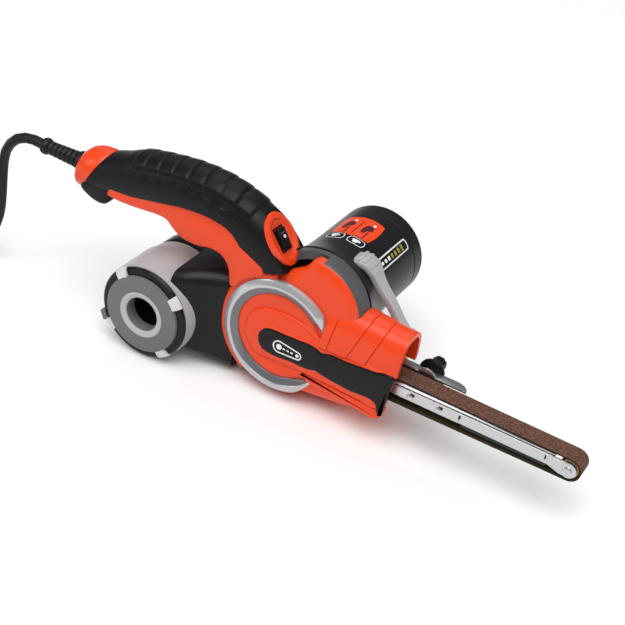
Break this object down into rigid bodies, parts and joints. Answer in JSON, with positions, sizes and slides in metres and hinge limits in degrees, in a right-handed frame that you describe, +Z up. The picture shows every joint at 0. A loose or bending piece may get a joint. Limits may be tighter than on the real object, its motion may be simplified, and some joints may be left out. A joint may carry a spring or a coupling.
{
  "type": "handheld belt sander",
  "caption": "Corded narrow-belt file sander: looped handle, round belt cover with hinged door, offset motor, slim sanding arm, dust canister and supply lead.",
  "frame": {"origin": "Middle of the tool's bounding box in plan, measured without the lead, at the level of the flat foot it stands on.", "axes": "+X runs along the sanding arm from the handle towards the tip, +Y from the belt side towards the motor, +Z up."},
  "size_m": [0.5334, 0.1957, 0.1259],
  "materials": {
    "shell_orange": "satin-gloss moulded shell",
    "grip_black": "matte moulded grip",
    "motor_black": "semi-matte moulding",
    "collar_grey": "matte dark grey moulding",
    "ring_silver": "satin silver paint",
    "canister_grey": "satin light grey moulding",
    "cap_grey": "matte mid grey moulding",
    "lever_grey": "matte light grey moulding",
    "zinc_steel": "zinc-plated",
    "cast_aluminium": "as cast",
    "roller_bronze": "sintered, oil-darkened",
    "belt_abrasive": "abrasive grain on cloth",
    "copper": "bright",
    "carbon": "pressed carbon",
    "drive_rubber": "matte",
    "cord_rubber": "matte",
    "filter_paper": "pleated red filter medium"
  },
  "bodies": {
    "housing": {"bearing_seat": "cast_aluminium", "brush_holder_lower": "copper", "brush_holder_upper": "copper", "carbon_brush_lower": "carbon", "carbon_brush_upper": "carbon", "cord_clamp": "grip_black", "cord_coil": "cord_rubber", "cord_run": "cord_rubber", "door_hinge_pin": "zinc_steel", "dust_duct": "motor_black", "dust_manifold": "motor_black", "front_bearing": "zinc_steel", "handle_grip": "grip_black", "handle_neck": "shell_orange", "handle_spine": "shell_orange", "housing_far": "shell_orange", "housing_near": "shell_orange", "lever_pin": "zinc_steel", "mains_plug": "cord_rubber", "motor_collar": "collar_grey", "motor_end_cap": "motor_black", "motor_foot": "collar_grey", "motor_housing": "motor_black", "motor_plate": "cast_aluminium", "nose_shroud": "shell_orange", "output_bearing": "zinc_steel", "rear_bearing": "zinc_steel", "sanding_belt": "belt_abrasive", "stator": "zinc_steel", "strain_relief": "cord_rubber", "switch_bezel": "shell_orange", "switch_module": "grip_black", "tail_collar": "shell_orange", "tension_spring": "zinc_steel", "toothed_belt": "drive_rubber", "trim_ring": "ring_silver"},
    "rotor": {"armature": "zinc_steel", "commutator": "copper", "cooling_fan": "cap_grey", "motor_pulley": "zinc_steel"},
    "drive": {"drive_shaft": "zinc_steel", "driven_pulley": "cast_aluminium", "drive_roller": "drive_rubber"},
    "arm": {"arm_near_plate": "zinc_steel", "arm_far_plate": "zinc_steel", "platen": "zinc_steel", "rivet_rear": "zinc_steel", "rivet_front": "zinc_steel", "tip_pin": "zinc_steel", "arm_bracket": "zinc_steel", "arm_carriage": "cast_aluminium"},
    "tip": {"tip_roller": "roller_bronze"},
    "tension": {"tension_lever": "lever_grey"},
    "tracking": {"tracking_knob": "grip_black"},
    "door": {"belt_door": "shell_orange", "door_panel": "grip_black"},
    "rocker": {"switch_rocker": "grip_black"},
    "canister": {"canister_body": "canister_grey", "dust_filter": "filter_paper"},
    "cap": {"canister_cap": "cap_grey"}
  },
  "joints": [
    {"name": "rotor_spin", "type": "hinge", "parent": "housing", "child": "rotor", "pos_m": [-0.00215, 0.0149, 0.0701], "axis": [0, 1, 0], "continuous": true},
    {"name": "drive_spin", "type": "hinge", "parent": "housing", "child": "drive", "pos_m": [-0.03215, -0.0251, 0.0395], "axis": [0, 1, 0], "continuous": true},
    {"name": "arm_slide", "type": "slide", "parent": "housing", "child": "arm", "axis": [1, 0, 0], "range_m": [-0.006, 0]},
    {"name": "tip_spin", "type": "hinge", "parent": "arm", "child": "tip", "pos_m": [0.16825, -0.0251, 0.0395], "axis": [0, 1, 0], "continuous": true},
    {"name": "lever_swing", "type": "hinge", "parent": "housing", "child": "tension", "pos_m": [0.05225, -0.0071, 0.061], "axis": [0, 1, 0], "range_deg": [0, 50]},
    {"name": "tracking_turn", "type": "hinge", "parent": "arm", "child": "tracking", "pos_m": [0.07075, -0.0051, 0.0461], "axis": [0, 1, 0], "range_deg": [-180, 180]},
    {"name": "door_hinge", "type": "hinge", "parent": "housing", "child": "door", "pos_m": [0.03425, -0.0375, 0.0237], "axis": [1, 0, 0], "range_deg": [0, 90]},
    {"name": "rocker_tilt", "type": "hinge", "parent": "housing", "child": "rocker", "pos_m": [-0.03025, -0.0281, 0.1021], "axis": [0, 1, 0], "range_deg": [0, 12]},
    {"name": "canister_slide", "type": "slide", "parent": "housing", "child": "canister", "axis": [0, -1, 0], "range_m": [0, 0.04]},
    {"name": "cap_turn", "type": "hinge", "parent": "canister", "child": "cap", "pos_m": [-0.10175, -0.0561, 0.031], "axis": [0, 1, 0], "range_deg": [0, 30]}
  ],
  "couplings": [
    {"joint": "drive_spin", "follows": "rotor_spin", "ratio": 0.6667},
    {"joint": "tip_spin", "follows": "rotor_spin", "ratio": 0.8571},
    {"joint": "lever_swing", "follows": "arm_slide", "rad_per_m": -145.44}
  ]
}
